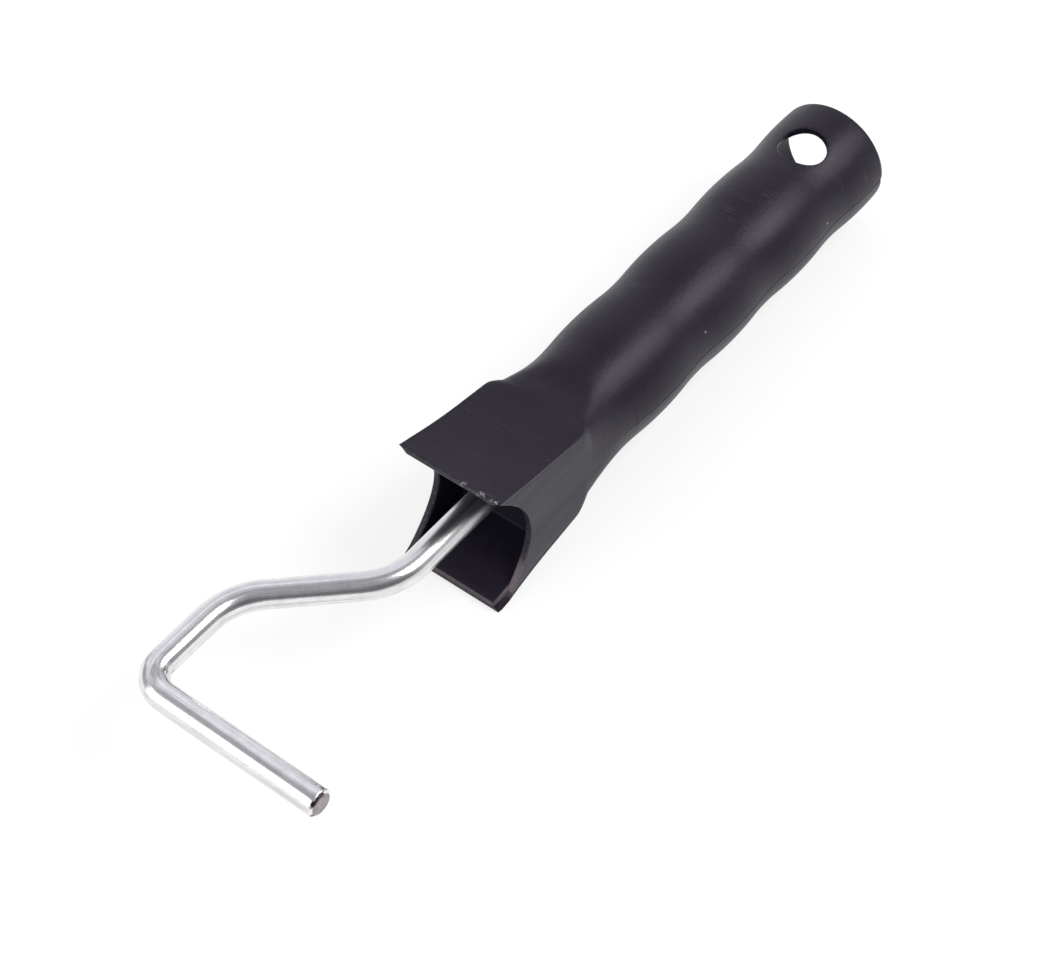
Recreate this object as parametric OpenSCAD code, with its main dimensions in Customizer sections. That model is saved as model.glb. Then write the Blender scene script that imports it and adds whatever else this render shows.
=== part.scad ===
// Small roller frame: a bent steel rod pressed into a hollow moulded grip.
// +Y runs along the grip from its mouth to its open butt, +Z is up, and the rod bends in the
// level plane through the grip's axis. The origin is under the middle of the whole object, on
// the surface that the lowest edge of the mouth touches.

/* [Rod] */
// Diameter of the steel rod
rod_d = 6; // [5:0.5:6.5]
// Straight stretch from the mouth to the first bend
neck_len = 9.8; // [4:0.1:20]
// Straight, slanted stretch between the two gentle bends
slant_len = 18.8; // [10:0.1:30]
// Straight stretch of the arm, beside the roller
arm_len = 12.3; // [8:0.1:30]
// Straight stretch of the axle, up to its chamfered end
axle_len = 38; // [24:0.5:110]
// Centreline radius of the two gentle bends
bend_r = 16; // [12:1:18]
// Centreline radius of the tight bend at the axle
hook_r = 6; // [5:0.5:10]
// Chamfer on the free end
tip_chamfer = 0.8; // [0.4:0.1:1.2]

/* [Grip] */
// Length of the moulded grip
grip_len = 139; // [130:0.5:145]
// Radius of the grip in its hollows
hollow_r = 12.9; // [12.5:0.1:14]
// Height of the swells above the hollows
swell = 0.6; // [0.4:0.1:1]
// Distance from one hollow to the next
wave_pitch = 25.8; // [25.4:0.1:26.4]
// First hollow, measured from the mouth
first_hollow = 43.6; // [42:0.1:45]
// Wall thickness of the mouth
wall = 1.5; // [1.2:0.1:1.8]

/* [Mouth] */
// Width of the mouth
mouth_w = 25; // [24.6:0.1:26]
// Height of the mouth
mouth_h = 34.8; // [33:0.1:36]
// Radius of the flare's top and bottom faces, seen from the side
flare_r = 139; // [134:1:150]
// Radius of the scoop cut out of both side walls
scoop_r = 18.9; // [18:0.1:20]
// Depth of that scoop
scoop_depth = 10.2; // [9:0.1:11.5]

/* [Hanging hole] */
// Diameter of the hanging hole
hang_d = 11; // [8:0.5:12]
// Middle of the hanging hole, measured from the butt
hang_inset = 14.3; // [12:0.1:18]

/* [Hidden] */
$fn = 96;
eps = 0.01;

rod_r = rod_d / 2;
rod_depth = 60;                             // how far the rod reaches into the grip
wing_w = 8.4;                               // flattened tail that stops the rod turning
wing_t = 2;
wing_len = 10;
bend_slim = 0.02;                           // the rod draws a little thinner in its bends
bend_lap = 0.05;                            // each bend starts this far inside the straights
gentle = 46;                                // turn of each gentle bend
bend_reach = bend_r * tan(gentle / 2);      // from a gentle bend's corner to its ends
slant = slant_len + 2 * bend_reach;
arm_x = slant * sin(gentle);
axle_y = neck_len + slant * cos(gentle) + 2 * bend_reach + arm_len + hook_r;

swell_r = hollow_r + swell;
wave_lean = 2 * atan(2 * swell / wave_pitch);   // slope where a hollow meets a swell
wave_radii = wave_pitch / 2 / sin(wave_lean);   // hollow radius plus swell radius
hollow_arc = 0.38 * wave_radii;             // hollows are tighter than swells
swell_arc = wave_radii - hollow_arc;
hollow_half = hollow_arc * sin(wave_lean);
swell_half = swell_arc * sin(wave_lean);
waves = ceil((grip_len + hollow_half - first_hollow) / wave_pitch);

trumpet_r = 32;                             // arc that rounds the square mouth into the grip
trumpet_top = 24;                           // past the mouth's corners
shoulder_y = 36.4;                          // round grip starts here, behind the flat plates
shoulder_r = 9.6;
shoulder_len = 3.7;
flare_waist_y = 38.7;                       // where the top and bottom plates are closest
side_waist_y = 23;                          // where the side walls are closest
side_arc = 480;                             // their slight curve, seen from above
flare_waist = mouth_h / 2 - flare_r + sqrt(pow(flare_r, 2) - pow(flare_waist_y, 2));
side_waist = mouth_w / 2 - side_arc + sqrt(pow(side_arc, 2) - pow(side_waist_y, 2));

bulkhead_y = 17;                            // front face of the wall behind the mouth
bulkhead_t = 2.2;
core_r = 11.6;                              // open bore at the butt
core_len = 26;
core_tip_r = 10.4;                          // it tapers towards the bulkhead, for moulding
socket_r = 5.4;                             // boss that grips the rod
socket_end = rod_depth + 2;
rib_t = 1.6;
rib_reach = 11.7;
rib_end = 54;
core_box_len = 7.3;                         // square part of the hollow, behind the bulkhead
core_box_h = 22.8;

left = -arm_x - rod_r;
right = max(hook_r + axle_len + tip_chamfer - arm_x, mouth_w / 2, swell_r);
front = -axle_y - rod_r;
origin = [(left + right) / 2, (front + grip_len) / 2, -mouth_h / 2];

module to_origin() {
    translate(-origin) children();
}

// Turns a solid of revolution so that its axis runs along the grip.
module along_grip() {
    rotate([-90, 0, 0]) children();
}

// A straight length of rod along +X, with the rest of the rod at its end.
module run(length) {
    rotate([0, 90, 0])
        cylinder(r = rod_r, h = length);
    translate([length, 0, 0])
        children();
}

// A bend that starts along +X and turns left, or right when the angle is negative.
module bend(angle, radius) {
    side = sign(angle);
    lap = bend_lap / radius * 180 / PI;
    translate([0, side * radius, 0]) {
        rotate([0, 0, (angle > 0 ? -90 : 90 + angle) - lap])
            rotate_extrude(angle = abs(angle) + 2 * lap)
                translate([radius, 0])
                    circle(r = rod_r - bend_slim);
        rotate([0, 0, angle])
            translate([0, -side * radius, 0])
                children();
    }
}

module tip() {
    rotate([0, 90, 0])
        cylinder(r1 = rod_r, r2 = rod_r - tip_chamfer, h = tip_chamfer);
}

// Flat wings squeezed out of the rod's hidden tail.
module wings() {
    translate([-wing_w / 2, rod_depth - wing_len, -wing_t / 2])
        cube([wing_w, wing_len, wing_t]);
}

module rod() {
    color("silver") to_origin() {
        translate([0, rod_depth, 0])
            rotate([0, 0, -90])
                run(rod_depth + neck_len)
                    bend(-gentle, bend_r)
                        run(slant_len)
                            bend(gentle, bend_r)
                                run(arm_len)
                                    bend(90, hook_r)
                                        run(axle_len)
                                            tip();
        wings();
    }
}

// Half outline of the grip's waves: radius across, distance from the mouth up.
module wave_outline() {
    intersection() {
        translate([0, first_hollow])
            square([swell_r, grip_len - first_hollow]);
        for (i = [0 : waves - 1])
            translate([0, first_hollow + i * wave_pitch]) {
                difference() {
                    translate([0, -hollow_half])
                        square([swell_r, 2 * hollow_half]);
                    translate([hollow_r + hollow_arc, 0])
                        circle(r = hollow_arc);
                }
                intersection() {
                    translate([0, hollow_half])
                        square([swell_r, 2 * swell_half]);
                    translate([swell_r - swell_arc, wave_pitch / 2])
                        circle(r = swell_arc);
                }
            }
    }
}

// Half outline of the grip's front end, up to the first hollow, with a soft shoulder.
module shoulder_outline() {
    intersection() {
        translate([0, shoulder_y])
            square([hollow_r, first_hollow - shoulder_y]);
        union() {
            translate([0, shoulder_y + shoulder_len])
                square([hollow_r, first_hollow]);
            translate([hollow_r - shoulder_r, shoulder_y + shoulder_len])
                circle(r = shoulder_r);
        }
    }
}

module grip() {
    along_grip() rotate_extrude() {
        wave_outline();
        shoulder_outline();
    }
}

// Everything between the two flared plates, grown or shrunk by gap.
module between_plates(gap) {
    rotate([90, 0, 90])
        linear_extrude(mouth_w * 2, center = true)
            difference() {
                translate([-1, -mouth_h / 2])
                    square([first_hollow + 1, mouth_h]);
                for (z = [-1, 1])
                    translate([flare_waist_y, z * (flare_waist + flare_r)])
                        circle(r = flare_r + gap);
            }
}

// Everything between the two side walls, shrunk by gap.
module between_sides(gap) {
    linear_extrude(mouth_h * 2, center = true)
        difference() {
            translate([-mouth_w / 2, -1])
                square([mouth_w, first_hollow + 1]);
            for (x = [-1, 1])
                translate([x * (side_waist + side_arc), side_waist_y])
                    circle(r = side_arc + gap);
        }
}

// The trumpet that takes the mouth's corners off as it nears the grip.
module trumpet() {
    along_grip() rotate_extrude() difference() {
        square([trumpet_top, first_hollow]);
        translate([hollow_r + trumpet_r, first_hollow])
            circle(r = trumpet_r);
    }
}

module mouth() {
    intersection() {
        trumpet();
        between_plates(0);
        between_sides(0);
    }
}

module mouth_cavity() {
    intersection() {
        between_plates(wall);
        between_sides(wall);
        translate([-mouth_w, -1, -mouth_h])
            cube([2 * mouth_w, bulkhead_y + 1, 2 * mouth_h]);
    }
}

// Round scoop through both side walls. The top and bottom lips keep their full length.
module scoop() {
    difference() {
        translate([0, scoop_depth - scoop_r, 0])
            rotate([0, 90, 0])
                cylinder(r = scoop_r, h = 2 * mouth_w, center = true);
        between_sides(wall);
    }
}

// Hollow of the grip, open at the butt.
module core() {
    start = bulkhead_y + bulkhead_t;
    taper_len = grip_len - core_len - start;
    along_grip() {
        translate([0, 0, start])
            cylinder(r1 = core_tip_r, r2 = core_r, h = taper_len);
        translate([0, 0, start + taper_len])
            cylinder(r = core_r, h = core_len + 1);
    }
    translate([-core_tip_r, start, -core_box_h / 2])
        cube([2 * core_tip_r, core_box_len, core_box_h]);
}

module socket() {
    along_grip()
        translate([0, 0, bulkhead_y])
            cylinder(r = socket_r, h = socket_end - bulkhead_y);
    for (a = [0 : 90 : 270])
        rotate([0, a, 0])
            translate([0, bulkhead_y + eps, -rib_t / 2])
                cube([rib_reach, rib_end - bulkhead_y, rib_t]);
}

module handle() {
    color([0.13, 0.13, 0.14]) to_origin() difference() {
        union() {
            difference() {
                union() {
                    mouth();
                    grip();
                }
                mouth_cavity();
                core();
            }
            socket();
        }
        scoop();
        along_grip()
            cylinder(r = rod_r, h = rod_depth);
        wings();
        translate([0, grip_len - hang_inset, 0])
            cylinder(d = hang_d, h = mouth_h, center = true);
    }
}

handle();
rod();
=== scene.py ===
import math

import bmesh
import bpy
import numpy as np
from mathutils import Matrix, Vector


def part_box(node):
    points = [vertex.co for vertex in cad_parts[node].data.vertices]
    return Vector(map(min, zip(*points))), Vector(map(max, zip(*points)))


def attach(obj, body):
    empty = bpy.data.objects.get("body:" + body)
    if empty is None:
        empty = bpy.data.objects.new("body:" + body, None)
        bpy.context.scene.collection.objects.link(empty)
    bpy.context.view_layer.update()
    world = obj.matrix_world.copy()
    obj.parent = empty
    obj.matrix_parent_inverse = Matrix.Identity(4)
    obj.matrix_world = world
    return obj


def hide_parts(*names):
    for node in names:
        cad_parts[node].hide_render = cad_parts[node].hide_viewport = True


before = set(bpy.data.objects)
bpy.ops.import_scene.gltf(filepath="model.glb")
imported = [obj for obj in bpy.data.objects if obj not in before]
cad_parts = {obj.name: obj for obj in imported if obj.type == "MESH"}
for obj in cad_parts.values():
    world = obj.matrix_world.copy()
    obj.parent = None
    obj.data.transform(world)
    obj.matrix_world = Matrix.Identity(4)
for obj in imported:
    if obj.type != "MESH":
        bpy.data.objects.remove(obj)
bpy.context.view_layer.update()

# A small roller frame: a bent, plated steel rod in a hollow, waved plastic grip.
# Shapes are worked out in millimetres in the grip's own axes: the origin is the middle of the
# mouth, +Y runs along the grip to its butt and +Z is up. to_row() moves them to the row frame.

MM = 0.001

# ---------------------------------------------------------------- places, from the frame

grip_low, grip_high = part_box("handle")
rod_low, rod_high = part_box("rod")
MOUTH = Vector(((grip_low.x + grip_high.x) / 2, grip_low.y, (grip_low.z + grip_high.z) / 2))
GRIP_LEN = (grip_high.y - grip_low.y) / MM
MOUTH_H = (grip_high.z - grip_low.z) / MM
SWELL_R = (grip_high.x - grip_low.x) / MM / 2
ROD_R = (rod_high.z - rod_low.z) / MM / 2
ARM_X = (rod_low.x - MOUTH.x) / MM + ROD_R
AXLE_Y = (rod_low.y - MOUTH.y) / MM + ROD_R
TIP_X = (rod_high.x - MOUTH.x) / MM
TAIL_Y = (rod_high.y - MOUTH.y) / MM

# ---------------------------------------------------------------- the grip's shape, in mm

SWELL = 0.6                     # height of the swells above the hollows
HOLLOW_R = SWELL_R - SWELL
WAVE_PITCH = 25.8
FIRST_HOLLOW = 43.6
HOLLOW_SHARE = 0.38             # hollows are tighter than swells
ROUND_FROM = FIRST_HOLLOW + 2   # the grip is a plain round behind here
TRUMPET_R = 32                  # arc that takes the mouth's corners off
TRUMPET_TOP = 24
MOUTH_W = 25
WALL = 1.5
LIP_EXTRA = 0.2                 # the lips are thicker at their edge by this share
LIP_EXTRA_LEN = 5
FLARE_R = 139                   # top and bottom plates, seen from the side
FLARE_WAIST_Y = 38.7
SIDE_ARC = 480                  # side walls, seen from above
SIDE_WAIST_Y = 23
LEFT_SCOOP = (9.8, -0.2, 17.4, 1.85)    # depth, middle height, half height and roundness
RIGHT_SCOOP = (10.6, -1.2, 18.2, 1.95)
SCOOP_FADE = 0.9                # the scoops fade out over this, at the top and the bottom

PLATE_END = 36.4                # the plates stop here, on the centreline
PLATE_SWELL = 0.040             # how fast the plates rise into the grip
PLATE_SWELL_AHEAD = 1.9         # the rise starts this far before their end
PLATE_SWELL_BOW = 0.03          # and further forward near their corners
PLATE_SWELL_REACH = 12          # but no more than it does this far across
SIDE_END = 30                   # the side walls rise into the grip behind here
SIDE_SWELL = 0.012              # and this fast
CORNER_END = 27                 # the mouth's corners keep their direction behind here
CRISP = 240                     # sharpness of the outer corners, at the mouth
CRISP_TO = 18                   # up to here
SOFT = 13                       # and where they melt into the grip
SOFT_FROM = 31                  # from here on
INNER_CRISP = 45                # sharpness of the corners inside

LINE_HALF_W = 0.16              # half width of the thin moulded lines
PARTING_H = 0.09
PARTING_REACH = 12.5            # from the axis to the parting line, near enough
PARTING_START = (38, 48)        # the parting line rises between these
RIDGE_H = 0.10                  # ridge along the plates' edges, with a groove beside it
GROOVE_OFFSET = 0.42
RIDGE_START = (0.8, 4)          # the ridge rises between these
RIDGE_END = (19, 27)            # and fades out between these
CORNER_REACH = 18               # from the axis to the mouth's corners, near enough
NICK_DEPTH = 0.5                # nick in the butt's rim at the parting line
NICK_HALF_W = 0.4

BULKHEAD_Y = 17
BULKHEAD_T = 2.2
BULKHEAD_FILLET = 0.12
BORE_R = 11.6
BORE_LEN = 26
BORE_TIP_R = 10.4
SOCKET_R = 5.4
SOCKET_END = TAIL_Y + 2
SOCKET_GAP = 0.04               # between the rod and its socket
RIB_HALF_T = 0.8
RIB_LAP = 0.4                   # the ribs reach this far into the socket and the bulkhead
RIB_REACH = BORE_TIP_R + 0.5    # from the axis, just into the grip's wall
RIB_SHORT = 6                   # the ribs stop this far before the rod's tail
HANG_R = 5.5
HANG_Y = GRIP_LEN - 14.3
EDGE = 0.3                      # small round on moulded edges
LIP_EDGE = 0.18                 # sharper one round the mouth
LIP_INNER_EDGE = 0.4

# How worn each sort of edge is. The values also pick where the painted reflection and highlight go,
# low in the mouth.
OUTER_WEAR = 1.0
INNER_WEAR = 0.6
FACE_WEAR = 0.52
BUTT_WEAR = 0.5
HOLE_WEAR = 0.3
LIP_BAND = 3                    # the lips' edges are this close to the mouth's top or bottom
LIP_FRONT = 2                   # and this close to its front
NICKS_START = (1, 4)            # the top lip's nicks set in between these, across the mouth
PAINTED_GLINT_START = (6, 10)          # so does the painted reflection on the rim
PAINTED_GLINT_LOW = (1.8, 2.6)         # it sets in between these heights above the lower lip
PAINTED_GLINT_HIGH = (6, 10)           # and fades out between these
SKIN_DEPTH = (0.5, 0.9)         # what is deeper than this is inside

# ---------------------------------------------------------------- the rod's shape, in mm

GENTLE = math.radians(46)       # turn of the two gentle bends
GENTLE_R = 16
HOOK_R = 6
TIP_CHAMFER = 0.8
FIRST_CORNER_Y = -16.6          # where the rod's first bend would be if it were sharp
WING_HALF_W = 4.2
WING_HALF_T = 1.0
WING_LEN = 10
HOOK_DRAW = 0.012               # share by which the wire thins where it is fully marked
HOOK_MARKS = 1.0                # how marked the plating is in the tight bend
PLAIN_MARKS = 0.12              # and elsewhere


def to_row(points):
    return np.asarray(points, float) * MM + np.array(MOUTH)


def smoothstep(low, high, x):
    t = np.clip((x - low) / (high - low), 0, 1)
    return t * t * (3 - 2 * t)


def soft_min(values, sharpness):
    """Smallest of several arrays, with the creases between them rounded."""
    values = np.array(np.broadcast_arrays(*values))
    least = values.min(0)
    return least * ((least / values) ** sharpness).sum(0) ** (-1 / sharpness)


# ---------------------------------------------------------------- surface of the grip

def waist(half_size, radius, waist_y):
    """Half size at the waist of a concave arc that passes half_size at the mouth."""
    return half_size - radius + math.sqrt(radius ** 2 - waist_y ** 2)


def concave(y, waist_half, radius, waist_y):
    off_waist = np.minimum(np.abs(waist_y - y), radius)
    return waist_half + radius - np.sqrt(radius ** 2 - off_waist ** 2)


def plate_half(y):
    return concave(y, waist(MOUTH_H / 2, FLARE_R, FLARE_WAIST_Y), FLARE_R, FLARE_WAIST_Y)


def side_half(y):
    return concave(y, waist(MOUTH_W / 2, SIDE_ARC, SIDE_WAIST_Y), SIDE_ARC, SIDE_WAIST_Y)


def wave_radius(y):
    """The round grip: arcs that meet tangentially, hollow and swell in turn."""
    lean = 2 * math.atan(2 * SWELL / WAVE_PITCH)
    radii = WAVE_PITCH / 2 / math.sin(lean)
    hollow_arc = HOLLOW_SHARE * radii
    swell_arc = radii - hollow_arc
    along = np.mod(y - FIRST_HOLLOW, WAVE_PITCH)
    from_hollow = np.minimum(along, WAVE_PITCH - along)
    from_swell = WAVE_PITCH / 2 - from_hollow
    in_hollow = np.minimum(from_hollow, hollow_arc)
    hollow = HOLLOW_R + hollow_arc - np.sqrt(hollow_arc ** 2 - in_hollow ** 2)
    swell = SWELL_R - swell_arc + np.sqrt(swell_arc ** 2 - from_swell ** 2)
    return np.where(from_hollow < hollow_arc * math.sin(lean), hollow, swell)


def trumpet_radius(y):
    ahead = np.clip(FIRST_HOLLOW - y, 0, TRUMPET_R)
    flare = HOLLOW_R + TRUMPET_R - np.sqrt(TRUMPET_R ** 2 - ahead ** 2)
    return np.where(y < FIRST_HOLLOW, np.minimum(flare, TRUMPET_TOP), wave_radius(y))


def corner_angle(y, inset):
    """Direction of the mouth's corner, seen along the grip. It stays put behind the plates."""
    near = np.minimum(y, CORNER_END)
    return np.arctan2(plate_half(near) - inset, side_half(near) - inset)


def plate_surface(y, cos, sin, inset):
    """Half height of the plates, which thicken at the lips and swell into the grip."""
    plate = plate_half(y) - inset * (1 + LIP_EXTRA * (1 - smoothstep(0, LIP_EXTRA_LEN, y)))
    across = np.minimum(plate * cos / sin, PLATE_SWELL_REACH)
    behind = np.maximum(0, y - PLATE_END + PLATE_SWELL_AHEAD + PLATE_SWELL_BOW * across ** 2)
    return plate + PLATE_SWELL * behind ** 2


def side_surface(y, inset):
    return side_half(y) - inset + SIDE_SWELL * np.maximum(0, y - SIDE_END) ** 2


def surface_radius(angle, y, inset):
    """Distance from the grip's axis to its skin, or to a surface that lies inset below it."""
    cos = np.maximum(np.abs(np.cos(angle)), 1e-6)
    sin = np.maximum(np.abs(np.sin(angle)), 1e-6)
    sharpness = CRISP - (CRISP - SOFT) * smoothstep(CRISP_TO, SOFT_FROM, y)
    sharpness = np.where(inset >= WALL, INNER_CRISP, sharpness)
    faces = [plate_surface(y, cos, sin, inset) / sin, side_surface(y, inset) / cos,
             trumpet_radius(y) - inset]
    return np.where(y > ROUND_FROM, wave_radius(y) - inset, soft_min(faces, sharpness))


# ---------------------------------------------------------------- rings of points

SIDE_STEPS = 28                 # from the level plane to a corner
PLATE_STEPS = 20                # from a corner to the upright plane
side_share = 0.5 - 0.5 * np.cos(np.pi * np.arange(SIDE_STEPS) / SIDE_STEPS)
plate_share = 1 - np.cos(np.pi / 2 * np.arange(PLATE_STEPS + 1) / PLATE_STEPS)
QUARTER = SIDE_STEPS + PLATE_STEPS
COLUMNS = 4 * QUARTER


def fold(values):
    """Repeats a quarter turn's values, 0 to 90 degrees inclusive, in mirror image all round."""
    half = np.concatenate([values, values[-2::-1]])
    return np.concatenate([half, half[-2:0:-1]])


def ring_angles(corner):
    """Angles of a ring's points, packed closely at the corners and at the level plane."""
    share_side = fold(np.concatenate([side_share, np.ones(PLATE_STEPS + 1)]))
    share_plate = fold(np.concatenate([np.zeros(SIDE_STEPS), plate_share]))
    quarter = share_side * corner + share_plate * (math.pi / 2 - corner)
    turns = [quarter, math.pi - quarter, math.pi + quarter, 2 * math.pi - quarter]
    index = np.arange(COLUMNS)
    return np.choose(np.maximum(index - 1, 0) // QUARTER, turns)


def angle_from_level(angle):
    return np.arctan2(abs(np.sin(angle)), abs(np.cos(angle)))


def thin_line(offset):
    """Profile of a thin raised line, at a distance from its middle."""
    return np.exp(-(offset / LINE_HALF_W) ** 2)


def moulded_lines(angle, y, inset):
    """The thin raised line where the mould's halves met, along both sides of the grip, and the
    ridge and groove along the edges of the flat plates."""
    line = PARTING_H * thin_line(PARTING_REACH * np.sin(angle)) * smoothstep(*PARTING_START, y)
    off_corner = (angle_from_level(angle) - corner_angle(y, inset)) * CORNER_REACH
    fade = smoothstep(*RIDGE_START, y) * (1 - smoothstep(*RIDGE_END, y))
    ridge = RIDGE_H * thin_line(off_corner) - RIDGE_H * thin_line(off_corner + GROOVE_OFFSET)
    return (line + ridge * fade) * (inset < LIP_EDGE)


def skin_ring(y, inset):
    """One ring on the skin, or inset below it, where y may differ from point to point."""
    y = np.broadcast_to(np.asarray(y, float), (COLUMNS,))
    angle = ring_angles(corner_angle(y, inset))
    radius = surface_radius(angle, y, inset) + moulded_lines(angle, y, inset)
    return np.stack([radius * np.cos(angle), y, radius * np.sin(angle)], 1)


def round_ring(y, radius):
    y = np.broadcast_to(np.asarray(y, float), (COLUMNS,))
    angle = ring_angles(corner_angle(GRIP_LEN, 0))
    return np.stack([radius * np.cos(angle), y, radius * np.sin(angle)], 1)


def butt_end():
    """Where the grip ends, with a small nick at the parting line."""
    height = round_ring(0, BORE_R)[:, 2]
    return GRIP_LEN - NICK_DEPTH * np.exp(-(height / NICK_HALF_W) ** 2)


def scoop_line(across, height):
    """How far back the side walls are cut, at a height above the rod's plane."""
    shape = np.where(across[:, None] > 0, RIGHT_SCOOP, LEFT_SCOOP)
    depth, middle, half, roundness = shape.T
    reach = np.minimum(abs(height - middle) / half, 1)
    near_lip = smoothstep(MOUTH_H / 2 - SCOOP_FADE, MOUTH_H / 2, abs(height))
    return depth * (1 - reach ** roundness) * (1 - near_lip)


def mouth_rim(inset):
    """How far back the rim lies, point by point: scooped on the sides, level on the lips."""
    quarter = np.concatenate([np.arange(SIDE_STEPS + 1), np.full(PLATE_STEPS, SIDE_STEPS)])
    half = np.concatenate([quarter, 2 * QUARTER - quarter[-2::-1]])
    source = np.concatenate([half, (4 * QUARTER - half[-2:0:-1]) % COLUMNS])
    corner_fade = 1 - smoothstep(0, 0.02, plate_share)
    fade = fold(np.concatenate([np.ones(SIDE_STEPS), corner_fade]))
    y = np.full(COLUMNS, 5.0)
    for _ in range(40):         # settles where the ring meets the scoop
        ring = skin_ring(y, inset)
        y = (y + scoop_line(ring[:, 0], ring[:, 2])) / 2
    return y[source] * fade


def edge_round(size=EDGE, steps=4):
    """Points of a quarter round edge, as (depth behind the rim, inset below the skin)."""
    turns = np.linspace(0, math.pi / 2, steps)
    return [(size * (1 - math.sin(turn)), size * (1 - math.cos(turn))) for turn in turns]


# ---------------------------------------------------------------- the grip, ring by ring

# The grip is one run of rings: from the end of the rod's socket out through the mouth, back
# along the skin, in at the butt and up the bore to the outside of the socket. Each of these
# functions gives one stretch of it, as (ring, wear) pairs.

BORE_START = GRIP_LEN - BORE_LEN
CAVITY_BACK = BULKHEAD_Y - 0.5          # the cavity's rings run from here to the rim
JOIN_Y = 20                             # rings behind here are square to the grip
TAIL_ROWS = np.linspace(BORE_START, GRIP_LEN - 1.0, 22)     # on the skin and in the bore alike


def unworn(rings):
    return [(ring, 0.0) for ring in rings]


def socket_rings():
    """The rod's socket, and the front face of the bulkhead with the fillet round it."""
    hole = ROD_R + SOCKET_GAP
    rings = [round_ring(y, hole) for y in np.linspace(TAIL_Y + 0.1, BULKHEAD_Y + 0.2, 8)]
    rings.append(round_ring(BULKHEAD_Y + 0.05, hole + 0.05))
    outer = skin_ring(BULKHEAD_Y, WALL + BULKHEAD_FILLET)
    inner = round_ring(BULKHEAD_Y, hole + 0.2)
    rings += [inner * (1 - share) + outer * share for share in np.linspace(0, 1, 10)]
    for turn in (0.4, 0.8, 1.2):
        y = BULKHEAD_Y - BULKHEAD_FILLET + BULKHEAD_FILLET * math.cos(turn)
        rings.append(skin_ring(y, WALL + BULKHEAD_FILLET - BULKHEAD_FILLET * math.sin(turn)))
    return unworn(rings)


def mouth_rings():
    """The mouth's cavity and its rim: two rings on the rim's face, and a round on both edges."""
    rim = mouth_rim(WALL) + LIP_INNER_EDGE
    shares = np.linspace(0, 1, 16)
    rings = unworn(skin_ring(CAVITY_BACK + share * (rim - CAVITY_BACK), WALL) for share in shares)
    for depth, inset in edge_round(LIP_INNER_EDGE)[1:]:
        rings.append((skin_ring(mouth_rim(WALL - inset) + depth, WALL - inset), INNER_WEAR))
    for inset in (WALL - LIP_INNER_EDGE - 0.12, LIP_EDGE + 0.3):
        rings.append((skin_ring(mouth_rim(inset), inset), FACE_WEAR))
    for depth, inset in reversed(edge_round(LIP_EDGE)):
        rings.append((skin_ring(mouth_rim(inset) + depth, inset), OUTER_WEAR))
    return rings


def skin_rings():
    """The outside, from the mouth's rim to where the bore at the butt starts inside."""
    rim = mouth_rim(0) + LIP_EDGE
    rows = [rim + share * (JOIN_Y - rim) for share in np.linspace(0, 1, 34)[1:]]
    rows += list(np.arange(JOIN_Y + 0.6, FIRST_HOLLOW + 3, 0.6))
    rows += list(np.arange(FIRST_HOLLOW + 4, BORE_START - 0.6, 1.2))
    return unworn(skin_ring(y, 0) for y in rows)


def butt_rings():
    """The butt's rim, rounded on the outside and then on the inside."""
    rings = []
    for depth, inset in edge_round():
        rings.append((skin_ring(butt_end() - depth, inset), BUTT_WEAR))
    for depth, inset in reversed(edge_round()):
        rings.append((round_ring(butt_end() - depth, BORE_R + inset), 0.0))
    return rings


def bore_rings():
    """The tapered bore ahead of the hanging hole, the bulkhead's back and the socket's outside."""
    back = BULKHEAD_Y + BULKHEAD_T
    rings = []
    for share in np.linspace(0, 1, 14)[1:]:
        radius = BORE_R + share * (BORE_TIP_R - BORE_R)
        rings.append(round_ring(BORE_START + share * (back - BORE_START), radius))
    rings.append(round_ring(back, (BORE_TIP_R + SOCKET_R) / 2))
    rings += [round_ring(y, SOCKET_R) for y in np.linspace(back, SOCKET_END - EDGE, 10)]
    rings.append(round_ring(SOCKET_END, SOCKET_R - EDGE))
    return unworn(rings)


# ---------------------------------------------------------------- mesh building

class Builder:
    """Collects rings of points and the quads between them."""

    def __init__(self):
        self.points = []
        self.faces = []
        self.wear = []

    def add(self, points, wear=0.0):
        start = len(self.points)
        self.points.extend(np.asarray(points, float).tolist())
        self.wear.extend([wear] * len(points))
        return list(range(start, len(self.points)))

    def bridge(self, ring_a, ring_b, skip=()):
        """Quads between two closed rings, apart from the columns in skip."""
        count = len(ring_a)
        for i in range(count):
            if i not in skip:
                j = (i + 1) % count
                self.faces.append((ring_a[i], ring_a[j], ring_b[j], ring_b[i]))

    def cap(self, ring):
        middle = self.add([np.mean([self.points[i] for i in ring], 0)])[0]
        for i in range(len(ring)):
            self.faces.append((ring[i], ring[(i + 1) % len(ring)], middle))


def make_object(name, builder, attributes):
    """A mesh object from a builder's points and faces, with its faces turned outwards."""
    mesh = bpy.data.meshes.new(name)
    mesh.from_pydata([tuple(p) for p in to_row(builder.points)], [], builder.faces)
    for key, values in attributes.items():
        kind = "FLOAT" if np.ndim(values) == 1 else "FLOAT_VECTOR"
        field = "value" if kind == "FLOAT" else "vector"
        attribute = mesh.attributes.new(key, kind, "POINT")
        attribute.data.foreach_set(field, np.asarray(values, np.float32).ravel())
    work = bmesh.new()
    work.from_mesh(mesh)
    loose = [v for v in work.verts if not v.link_faces]
    bmesh.ops.delete(work, geom=loose, context="VERTS")
    bmesh.ops.recalc_face_normals(work, faces=work.faces)
    work.to_mesh(mesh)
    work.free()
    mesh.shade_smooth()
    piece = bpy.data.objects.new(name, mesh)
    bpy.context.scene.collection.objects.link(piece)
    return piece


# ---------------------------------------------------------------- the hanging hole

WINDOW_HALF = 8.2               # mm of rows left out each side of the hole's middle
WINDOW_COLUMNS = 17             # and columns each side of the upright plane
NEAR, FAR = [int(np.argmin(abs(TAIL_ROWS - HANG_Y - d))) for d in (-WINDOW_HALF, WINDOW_HALF)]
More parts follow.
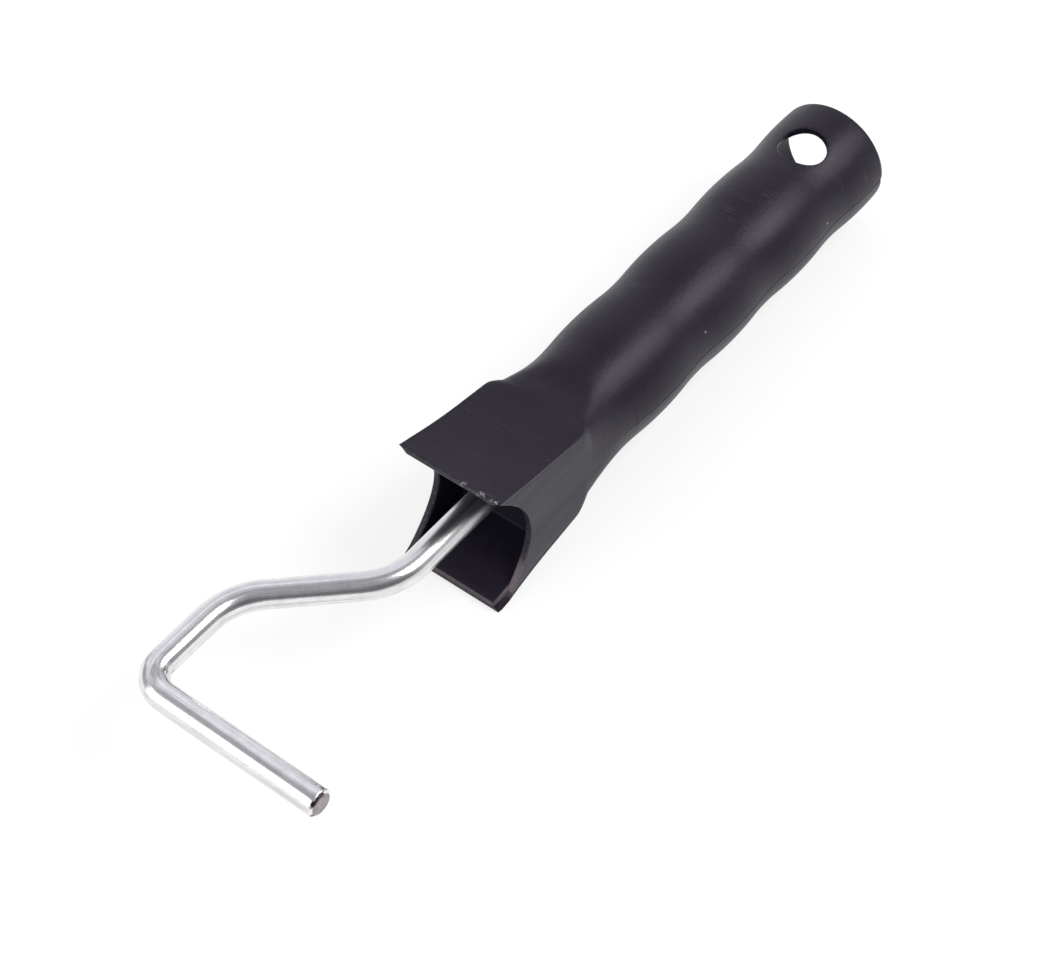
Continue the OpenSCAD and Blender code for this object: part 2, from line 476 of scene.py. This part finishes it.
# First and last column of the windows above (1) and below (-1).
WINDOWS = {up: (middle - WINDOW_COLUMNS, middle + WINDOW_COLUMNS)
           for up, middle in ((1, QUARTER), (-1, 3 * QUARTER))}


def window_loop(rows, first_col, last_col):
    """Indices of the points round a window that spans these rows, in order."""
    loop = [rows[0][c] for c in range(first_col, last_col)]
    loop += [row[last_col] for row in rows[:-1]]
    loop += [rows[-1][c] for c in range(last_col, first_col, -1)]
    loop += [row[first_col] for row in rows[:0:-1]]
    return loop


def lift(flat, up, radius):
    """Puts points given as (x, y) on the upper or lower side of a round skin."""
    height = np.sqrt(np.maximum(radius ** 2 - flat[:, 0] ** 2, 0))
    return np.stack([flat[:, 0], flat[:, 1], up * height], 1)


def hole_rings(outer, bore, up):
    """Rings from a window in the skin, round the hole's edges, to the window in the bore."""
    middle = np.array([0, HANG_Y])
    away = outer - middle
    away = away / np.linalg.norm(away, axis=1)[:, None]
    rim = middle + (HANG_R + EDGE) * away
    for share in (0.15, 0.35, 0.55, 0.75, 0.9, 1.0):
        flat = outer + share * (rim - outer)
        yield lift(flat, up, wave_radius(flat[:, 1])), 0.0
    for depth, inset in edge_round()[1:]:
        flat = middle + (HANG_R + depth) * away
        yield lift(flat, up, wave_radius(flat[:, 1])) - np.array([0, 0, up * inset]), HOLE_WEAR
    for depth, inset in reversed(edge_round()):
        flat = middle + (HANG_R + depth) * away
        yield lift(flat, up, BORE_R) + np.array([0, 0, up * inset]), 0.0
    for share in (0.9, 0.7, 0.45, 0.2):
        yield lift(bore + share * (rim - bore), up, BORE_R), 0.0


def hanging_hole(builder, outer_loop, bore_loop, up):
    """Fills the windows cut in the skin and the bore with a round hole between them."""
    points = np.array(builder.points)[:, :2]
    previous = outer_loop
    for ring_points, wear in hole_rings(points[outer_loop], points[bore_loop], up):
        ring = builder.add(ring_points, wear)
        builder.bridge(previous, ring)
        previous = ring
    builder.bridge(previous, bore_loop)


# ---------------------------------------------------------------- the whole grip

def add_rib(builder, turn):
    """One of the four plates that tie the rod's socket to the grip's wall."""
    low = SOCKET_R - RIB_LAP
    corners = [(low, -RIB_HALF_T), (RIB_REACH, -RIB_HALF_T), (RIB_REACH, RIB_HALF_T),
               (low, RIB_HALF_T)]
    cos, sin = math.cos(turn), math.sin(turn)
    ends = [builder.add([(u * cos - v * sin, y, u * sin + v * cos) for u, v in corners])
            for y in (BULKHEAD_Y + BULKHEAD_T - RIB_LAP, TAIL_Y - RIB_SHORT)]
    builder.bridge(*ends)
    builder.faces.extend(tuple(end) for end in ends)


def wear_and_painted_glints(builder):
    """Where the surface is worn, and where light is painted: edges are nicked, above all the top
    lip's, and low in the mouth the rim gets a painted reflection and the lower lip's inner edge a
    painted highlight. Only what is outside has scuffs."""
    worn = np.array(builder.wear)
    x, y, z = np.array(builder.points).T
    nicked = smoothstep(*NICKS_START, x) * (z > MOUTH_H / 2 - LIP_BAND) * (y < LIP_FRONT)
    above_lip = z + MOUTH_H / 2
    # Painted reflection: a lighter strip on the rim, low in the mouth, stands in for the floor seen
    # in it.
    wall = (worn > BUTT_WEAR) * smoothstep(*PAINTED_GLINT_START, x) * smoothstep(*PAINTED_GLINT_LOW, above_lip)
    wall = wall * (1 - smoothstep(*PAINTED_GLINT_HIGH, above_lip))
    # Painted highlight: a light line along the lower lip's inner edge.
    lip = (worn == INNER_WEAR) * (above_lip < LIP_BAND) * (y < LIP_FRONT) * 0.6
    depth = surface_radius(np.arctan2(z, x), y, 0) - np.hypot(x, z)
    return {"wear": worn * (0.25 + 1.4 * nicked), "painted_glint": np.maximum(wall, lip),
            "outside": 1 - smoothstep(*SKIN_DEPTH, depth)}


def join_rows(builder, rows, cut_rows):
    """Quads between all the rings, with windows left out where the hole goes, and both caps."""
    left_out = {column for columns in WINDOWS.values() for column in range(*columns)}
    for row in range(len(rows) - 1):
        builder.bridge(rows[row], rows[row + 1], left_out if row in cut_rows else ())
    builder.cap(rows[0])
    builder.cap(rows[-1])


def build_grip():
    """The grip, with its hanging hole and the ribs round the rod's socket."""
    builder = Builder()
    front = socket_rings() + mouth_rings() + skin_rings()
    tail = unworn(skin_ring(y, 0) for y in TAIL_ROWS)
    butt = butt_rings()
    bore_tail = unworn(round_ring(y, BORE_R) for y in TAIL_ROWS[::-1])
    rows = [builder.add(*pair) for pair in front + tail + butt + bore_tail + bore_rings()]

    first = len(front)
    last = first + len(tail) + len(butt) + len(bore_tail) - 1
    join_rows(builder, rows, {*range(first + NEAR, first + FAR), *range(last - FAR, last - NEAR)})
    # The bore's rings run back towards the mouth, so they are turned round to match the skin's.
    skin_rows = rows[first + NEAR:first + FAR + 1]
    bore_rows = rows[last - FAR:last - NEAR + 1][::-1]
    for up, columns in WINDOWS.items():
        skin_loop = window_loop(skin_rows, *columns)
        hanging_hole(builder, skin_loop, window_loop(bore_rows, *columns), up)
    for quarter_turn in range(4):
        add_rib(builder, quarter_turn * math.pi / 2)
    return make_object("grip", builder, wear_and_painted_glints(builder))


# ---------------------------------------------------------------- the rod

ROD_SIDES = 96
AROUND = np.arange(ROD_SIDES) * 2 * math.pi / ROD_SIDES
# Last rings of the rod, as (distance ahead of its tip, radius). The chamfer's edges are very
# slightly rounded.
TIP_STEPS = (
    (-TIP_CHAMFER - 0.15, ROD_R),
    (-TIP_CHAMFER + 0.05, ROD_R - 0.03),
    (-0.1, ROD_R - TIP_CHAMFER + 0.08),
    (-0.02, ROD_R - TIP_CHAMFER - 0.05),
    (0.0, ROD_R - TIP_CHAMFER - 0.2),
)
# First rings, at the flattened tail, as (distance from its end, share of its full size).
TAIL_STEPS = ((0.0, 0.86), (0.15, 0.96), (0.45, 1.0), (5.0, 1.0), (9.6, 1.0))


def rod_path():
    """The rod's stretches from its tail, as (number of steps, length and turn of each step,
    how marked the plating is)."""
    reach = GENTLE_R * math.tan(GENTLE / 2)
    slant = abs(ARM_X) / math.sin(GENTLE) - 2 * reach
    neck = TAIL_Y - FIRST_CORNER_Y - reach
    arm = FIRST_CORNER_Y - abs(ARM_X) / math.tan(GENTLE) - AXLE_Y - reach - HOOK_R
    axle = TIP_X - ARM_X - HOOK_R

    def run(length):
        count = max(2, round(length / 2))
        return count, length / count, 0.0, PLAIN_MARKS

    def bend(angle, radius, marks):
        count = round(abs(angle) / math.radians(3))
        turn = angle / count
        return count, 2 * radius * math.sin(abs(turn) / 2), turn, marks

    return [run(neck), bend(-GENTLE, GENTLE_R, PLAIN_MARKS), run(slant),
            bend(GENTLE, GENTLE_R, PLAIN_MARKS), run(arm),
            bend(math.pi / 2, HOOK_R, HOOK_MARKS), run(axle)]


def rod_centreline():
    """Points along the rod, as (x, y, heading, distance from the tail, marks)."""
    x, y, heading, distance = 0.0, TAIL_Y, -math.pi / 2, 0.0
    samples = [(x, y, heading, distance, 0)]
    for count, length, turn, marks in rod_path():
        for _ in range(count):
            heading += turn / 2
            x += length * math.cos(heading)
            y += length * math.sin(heading)
            heading += turn / 2
            distance += length
            samples.append((x, y, heading, distance, marks))
    return samples


def rod_stations():
    """Every ring of the rod, as (sample on the centreline, distance ahead of it, radii)."""
    samples = rod_centreline()
    wing = soft_min([WING_HALF_W / np.maximum(abs(np.cos(AROUND)), 1e-3),
                     WING_HALF_T / np.maximum(abs(np.sin(AROUND)), 1e-3)], 30)
    tail = np.maximum(ROD_R, wing)
    for ahead, share in TAIL_STEPS:
        yield samples[0], ahead, tail * share
    for sample in samples[1:-1]:
        distance, marks = sample[3:]
        if distance > WING_LEN:
            yield sample, 0.0, np.full(ROD_SIDES, ROD_R * (1 - HOOK_DRAW * marks))
    for ahead, radius in TIP_STEPS:
        yield samples[-1], ahead, np.full(ROD_SIDES, radius)


def build_rod():
    """The rod, with its unrolled surface and how marked it is kept for its material."""
    builder = Builder()
    unrolled, marked, rings = [], [], []
    for (x, y, heading, distance, marks), ahead, radii in rod_stations():
        cos, sin = math.cos(heading), math.sin(heading)
        across = radii * np.cos(AROUND)
        up = radii * np.sin(AROUND)
        along = np.full(ROD_SIDES, distance + ahead)
        ring_x = x + ahead * cos - across * sin
        ring_y = y + ahead * sin + across * cos
        rings.append(builder.add(np.stack([ring_x, ring_y, up], 1)))
        unrolled.extend(np.stack([across, along, up], 1).tolist())
        marked.extend([marks] * ROD_SIDES)
    for a, b in zip(rings, rings[1:]):
        builder.bridge(a, b)
    for ring in (rings[0], rings[-1]):
        builder.cap(ring)
        unrolled.append([0, unrolled[ring[0]][1], 0])
        marked.append(0)
    return make_object("bent_rod", builder, {"unrolled": np.array(unrolled) * MM,
                                             "marked": marked})


# ---------------------------------------------------------------- materials

BLACK = (0.0082, 0.0062, 0.0135, 1)
CLOUDED_BLACK = (0.0125, 0.0098, 0.0190, 1)
SCUFF_GREY = (0.16, 0.155, 0.18, 1)
NICK_GREY = (0.30, 0.29, 0.29, 1)
# Colour of the painted reflection and highlight low in the mouth.
PAINTED_GLINT_GREY = (0.17, 0.145, 0.155, 1)
SPECK_GREY = (0.26, 0.25, 0.24, 1)
BRIGHT_PLATING = (0.86, 0.86, 0.865, 1)
HAZY_PLATING = (0.70, 0.70, 0.71, 1)
STREAK_GREY = (0.42, 0.42, 0.43, 1)
MARK_GREY = (0.26, 0.25, 0.25, 1)
CUT_DARK = (0.17, 0.155, 0.17, 1)
CUT_LIGHT = (0.46, 0.42, 0.45, 1)
# Painted reflection on the chamfer: a dark ring with bright highlight patches.
CHAMFER_PAINTED_DARK = (0.05, 0.045, 0.045, 1)
CHAMFER_PAINTED_HIGHLIGHT = (0.85, 0.83, 0.83, 1)
DULL_LEN = 16                   # the rod's dullness in the mouth fades over these mm ahead of it


class Nodes:
    """Short helpers for building a material's node tree. The scales of the textures are per
    metre, since the scene is in metres."""

    def __init__(self, name):
        self.material = bpy.data.materials.new(name)
        self.material.use_nodes = True
        self.tree = self.material.node_tree
        self.shader = self.tree.nodes["Principled BSDF"]

    def node(self, kind, settings=None, **inputs):
        node = self.tree.nodes.new(kind)
        for key, value in (settings or {}).items():
            setattr(node, key, value)
        for key, value in inputs.items():
            self.feed(node, key.replace("_", " "), value)
        return node

    def feed(self, node, socket, value):
        """Links another node's output to a socket, or sets the socket to a plain value."""
        if hasattr(value, "is_output"):
            self.tree.links.new(value, node.inputs[socket])
        else:
            node.inputs[socket].default_value = value

    def surface(self, **inputs):
        """Feeds the shader's own sockets."""
        for key, value in inputs.items():
            self.feed(self.shader, key.replace("_", " "), value)

    def place(self):
        return self.node("ShaderNodeTexCoord").outputs["Object"]

    def attribute(self, name, output="Fac"):
        return self.node("ShaderNodeAttribute", {"attribute_name": name}).outputs[output]

    def stretch(self, vector, scale, turn=(0, 0, 0)):
        return self.node("ShaderNodeMapping", Vector=vector, Scale=scale, Rotation=turn).outputs[0]

    def noise(self, vector, scale, detail=4.0, roughness=0.55):
        node = self.node("ShaderNodeTexNoise", Vector=vector, Scale=scale, Detail=detail,
                         Roughness=roughness)
        return node.outputs["Fac"]

    def ramp(self, value, low, high, to_low=0.0, to_high=1.0):
        node = self.node("ShaderNodeMapRange", {"clamp": True}, Value=value, From_Min=low,
                         From_Max=high, To_Min=to_low, To_Max=to_high)
        return node.outputs["Result"]

    def math(self, operation, a, b):
        node = self.node("ShaderNodeMath", {"operation": operation})
        self.feed(node, 0, a)
        self.feed(node, 1, b)
        return node.outputs[0]

    def times(self, a, b):
        return self.math("MULTIPLY", a, b)

    def mix(self, share, a, b):
        node = self.node("ShaderNodeMix", {"data_type": "RGBA"})
        self.feed(node, 0, share)
        self.feed(node, 6, a)
        self.feed(node, 7, b)
        return node.outputs[2]

    def bump(self, height, strength, distance, normal=None):
        node = self.node("ShaderNodeBump", Height=height, Strength=strength, Distance=distance)
        if normal is not None:
            self.feed(node, "Normal", normal)
        return node.outputs["Normal"]


def scuff_marks(n, place):
    """Short, fine scratches in three directions, each in its own patches."""
    scuffs = None
    for turn, seed in ((0.5, 3.1), (-0.9, 7.7), (1.9, 12.3)):
        line = n.noise(n.stretch(place, (190, 3400, 190), (0, 0, turn)), 1, 2, 0.5)
        patch = n.noise(n.stretch(place, (70 + seed, 70, 70)), 1, 1)
        mark = n.times(n.ramp(line, 0.66, 0.74), n.ramp(patch, 0.54, 0.64))
        scuffs = mark if scuffs is None else n.math("MAXIMUM", scuffs, mark)
    return scuffs


def pale_specks(n, place):
    """A few pale specks, well apart."""
    cells = n.node("ShaderNodeTexVoronoi", {"feature": "F1"}, Vector=place, Scale=230)
    few = n.ramp(n.noise(place, 130, 1), 0.68, 0.70)
    return n.times(n.ramp(cells.outputs["Distance"], 0.085, 0.05), few)


def plastic():
    """Black moulded plastic: satin, faintly grained, with scuffs, specks and worn edges, and a
    painted reflection and highlight low in the mouth.
    """
    n = Nodes("moulded_plastic")
    place = n.place()
    cloud = n.noise(place, 90, 3)
    flow = n.noise(n.stretch(place, (260, 22, 260)), 1, 4)
    grain = n.noise(place, 1500, 3, 0.7)
    outside = n.attribute("outside")
    scuffs = n.times(scuff_marks(n, place), outside)
    specks = n.times(pale_specks(n, place), outside)
    nicks = n.times(n.attribute("wear"), n.ramp(n.noise(place, 1000, 4, 0.65), 0.53, 0.62))
    tone = n.mix(n.ramp(cloud, 0.3, 0.7), BLACK, CLOUDED_BLACK)
    tone = n.mix(n.times(scuffs, 0.22), tone, SCUFF_GREY)
    tone = n.mix(n.times(nicks, 0.50), tone, NICK_GREY)
    # Painted reflection on the rim and painted highlight on the lower lip's inner edge, low in the
    # mouth.
    tone = n.mix(n.times(n.attribute("painted_glint"), 0.7), tone, PAINTED_GLINT_GREY)
    tone = n.mix(specks, tone, SPECK_GREY)
    rough = n.math("ADD", n.ramp(flow, 0.3, 0.7, 0.35, 0.44), n.times(scuffs, 0.12))
    normal = n.bump(grain, 0.55, 0.00010)
    normal = n.bump(flow, 0.10, 0.0002, normal)
    normal = n.bump(n.noise(place, 380, 3, 0.6), 0.16, 0.0003, normal)
    normal = n.bump(scuffs, 0.3, 0.00004, normal)
    n.surface(Base_Color=tone, Roughness=rough, Normal=normal, Specular_IOR_Level=0.22,
              Specular_Tint=(0.97, 0.90, 1.0, 1))
    return n.material


def steel():
    """Bright plated wire: hazy, with lines from drawing along it and marks in the tight bend. It
    is duller in the mouth and just ahead of it."""
    n = Nodes("plated_steel")
    along = n.attribute("unrolled", "Vector")
    drawn = n.noise(n.stretch(along, (2400, 26, 2400)), 1, 4, 0.6)
    coarse = n.noise(n.stretch(along, (700, 9, 700)), 1, 3, 0.5)
    haze = n.noise(along, 330, 5, 0.65)
    blots = n.noise(n.stretch(along, (900, 240, 900)), 1, 4)
    marks = n.times(n.attribute("marked"), n.ramp(blots, 0.5, 0.62))
    tone = n.mix(n.ramp(haze, 0.35, 0.75), BRIGHT_PLATING, HAZY_PLATING)
    streaks = n.ramp(drawn, 0.49, 0.66, 0.0, 0.62)
    streaks = n.math("MAXIMUM", streaks, n.ramp(coarse, 0.54, 0.66, 0.0, 0.35))
    tone = n.mix(streaks, tone, STREAK_GREY)
    tone = n.mix(n.times(marks, 0.6), tone, MARK_GREY)
    rough = n.math("ADD", n.ramp(coarse, 0.3, 0.7, 0.15, 0.25), n.times(marks, 0.2))
    distance = n.node("ShaderNodeSeparateXYZ", Vector=along).outputs["Y"]
    dull = n.ramp(distance, TAIL_Y * MM, (TAIL_Y + DULL_LEN) * MM, 0.16, 0)
    normal = n.bump(drawn, 0.10, 0.00002)
    normal = n.bump(coarse, 0.25, 0.00006, normal)
    n.surface(Base_Color=tone, Metallic=1.0, Roughness=n.math("ADD", rough, dull), Normal=normal)
    return n.material


def cut_steel():
    """The sawn end of the rod, darker and lined, and its chamfer, painted with a dark reflection
    and bright highlight patches.
    """
    n = Nodes("cut_steel")
    place = n.place()
    lines = n.noise(n.stretch(place, (30, 700, 5200), (0.6, 0, 0)), 1, 3)
    face = n.mix(n.ramp(lines, 0.3, 0.7), CUT_DARK, CUT_LIGHT)
    # Painted highlight patches over a painted dark reflection on the chamfer.
    painted_highlights = n.ramp(n.noise(place, 420, 2), 0.50, 0.56)
    chamfer = n.mix(painted_highlights, CHAMFER_PAINTED_DARK, CHAMFER_PAINTED_HIGHLIGHT)
    depth = n.node("ShaderNodeSeparateXYZ", Vector=place).outputs["X"]
    on_chamfer = n.ramp(depth, rod_high.x - 0.30 * MM, rod_high.x - 0.12 * MM, 1, 0)
    n.surface(Base_Color=n.mix(on_chamfer, face, chamfer), Metallic=1.0,
              Roughness=n.ramp(lines, 0.3, 0.7, 0.26, 0.42), Normal=n.bump(lines, 0.4, 0.00004))
    return n.material


def floor_material():
    """A pale floor with a glow of its own, so that shadows on it stay very faint."""
    n = Nodes("pale_floor")
    n.surface(Base_Color=(0.26, 0.26, 0.26, 1), Roughness=0.9, Specular_IOR_Level=0.1,
              Emission_Color=(1, 1, 1, 1), Emission_Strength=0.735)
    return n.material


# ---------------------------------------------------------------- the two pieces

grip = build_grip()
grip.data.materials.append(plastic())
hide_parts("handle")
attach(grip, "root")

rod = build_rod()
rod.data.materials.append(steel())
rod.data.materials.append(cut_steel())
chamfer_start = rod_high.x - TIP_CHAMFER * MM * 0.9
for face in rod.data.polygons:
    if face.center.x > chamfer_start:
        face.material_index = 1
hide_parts("rod")
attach(rod, "root")

# ---------------------------------------------------------------- floor

HALF_FLOOR = 3.0


def add_floor():
    """The floor under the tool, which lies on the mouth's lower lip and the bottom of its butt."""
    mesh = bpy.data.meshes.new("floor")
    corners = [(x * HALF_FLOOR, y * HALF_FLOOR, 0) for x, y in ((-1, -1), (1, -1), (1, 1), (-1, 1))]
    mesh.from_pydata(corners, [], [(0, 1, 2, 3)])
    floor = bpy.data.objects.new("floor", mesh)
    floor.data.materials.append(floor_material())
    butt_bottom = MOUTH.z - float(wave_radius(GRIP_LEN)) * MM
    tilt = math.atan2(butt_bottom - grip_low.z, grip_high.y - grip_low.y)
    floor.location = (MOUTH.x, grip_low.y, grip_low.z)
    floor.rotation_euler = (tilt, 0, 0)
    bpy.context.scene.collection.objects.link(floor)


# ---------------------------------------------------------------- camera

AZIMUTH = math.radians(37.095)
ELEVATION = math.radians(50.05)
ROLL = math.radians(0.59)
DISTANCE = 0.487
LENS = 84.29
SENSOR = 36
AIM = MOUTH + Vector((6.6, 15.37, 6.93)) * MM      # the camera and the lights face this point


def matrix_from(right, up, back, place):
    turn = Matrix((right, up, back)).transposed().to_4x4()
    return Matrix.Translation(place) @ turn


def add_camera():
    """Looks at AIM from the given direction, then turns by the roll about the line of sight."""
    forward = Vector((-math.sin(AZIMUTH) * math.cos(ELEVATION),
                      math.cos(AZIMUTH) * math.cos(ELEVATION), -math.sin(ELEVATION)))
    level = Vector((math.cos(AZIMUTH), math.sin(AZIMUTH), 0))
    upright = level.cross(forward)
    right = math.cos(ROLL) * level + math.sin(ROLL) * upright
    up = math.cos(ROLL) * upright - math.sin(ROLL) * level
    camera = bpy.data.objects.new("camera", bpy.data.cameras.new("camera"))
    camera.data.lens = LENS
    camera.data.sensor_width = SENSOR
    camera.data.clip_start = 0.01
    camera.matrix_world = matrix_from(right, up, -forward, AIM - DISTANCE * forward)
    bpy.context.scene.collection.objects.link(camera)
    bpy.context.scene.camera = camera


# ---------------------------------------------------------------- light

LAMP_DISTANCE = 1.0
ROOM_COLOUR = (0.95, 0.93, 1.0, 1)
ROOM_BASE = 0.40
# Lighter and darker parts of the room: direction, outer and inner half angle, light added.
ROOM_PATCHES = (
    ((-0.75, 0.55, 0.35), 60, 25, 0.55),
    ((-0.4, 0.30, 0.85), 30, 12, 0.10),
    ((0.85, -0.40, 0.15), 48, 15, -0.22),
)


def softbox(name, direction, size, radiance, colour, along):
    """A rectangular light that faces the tool and gives the stated radiance. Its second side
    runs nearly in the direction called along."""
    data = bpy.data.lights.new(name, "AREA")
    data.shape = "RECTANGLE"
    data.size, data.size_y = size
    data.energy = radiance * math.pi * size[0] * size[1]
    data.color = colour
    lamp = bpy.data.objects.new(name, data)
    toward = Vector(direction).normalized()
    side = Vector(along).cross(toward).normalized()
    lamp.matrix_world = matrix_from(side, toward.cross(side), toward, AIM + toward * LAMP_DISTANCE)
    lamp.visible_camera = False
    bpy.context.scene.collection.objects.link(lamp)


def room_patch(tree, place, direction, outer, inner, light):
    """Light that rises from nothing to its full value towards one direction."""
    dot = tree.nodes.new("ShaderNodeVectorMath")
    dot.operation = "DOT_PRODUCT"
    tree.links.new(place, dot.inputs[0])
    dot.inputs[1].default_value = Vector(direction).normalized()
    spread = tree.nodes.new("ShaderNodeMapRange")
    spread.interpolation_type = "SMOOTHSTEP"
    tree.links.new(dot.outputs["Value"], spread.inputs["Value"])
    spread.inputs["From Min"].default_value = math.cos(math.radians(outer))
    spread.inputs["From Max"].default_value = math.cos(math.radians(inner))
    spread.inputs["To Max"].default_value = light
    return spread.outputs["Result"]


def room_light():
    """A dim room that is lighter towards some of its walls and darker towards one."""
    world = bpy.data.worlds.new("studio")
    world.use_nodes = True
    tree = world.node_tree
    place = tree.nodes.new("ShaderNodeTexCoord").outputs["Generated"]
    base = tree.nodes.new("ShaderNodeValue")
    base.outputs[0].default_value = ROOM_BASE
    total = base.outputs[0]
    for patch in ROOM_PATCHES:
        add = tree.nodes.new("ShaderNodeMath")
        tree.links.new(room_patch(tree, place, *patch), add.inputs[0])
        tree.links.new(total, add.inputs[1])
        total = add.outputs[0]
    background = tree.nodes["Background"]
    background.inputs["Color"].default_value = ROOM_COLOUR
    tree.links.new(total, background.inputs["Strength"])
    bpy.context.scene.world = world


add_floor()
add_camera()
softbox("key", (0.51, 0.43, 0.72), (0.52, 0.74), 7.2, (1.0, 0.97, 0.94), (0, 1, 0))
softbox("front", (-0.40, -0.82, 0.38), (0.95, 0.75), 3.0, (1, 0.98, 0.97), (0, 0, 1))
room_light()
bpy.context.scene.view_settings.view_transform = "Standard"
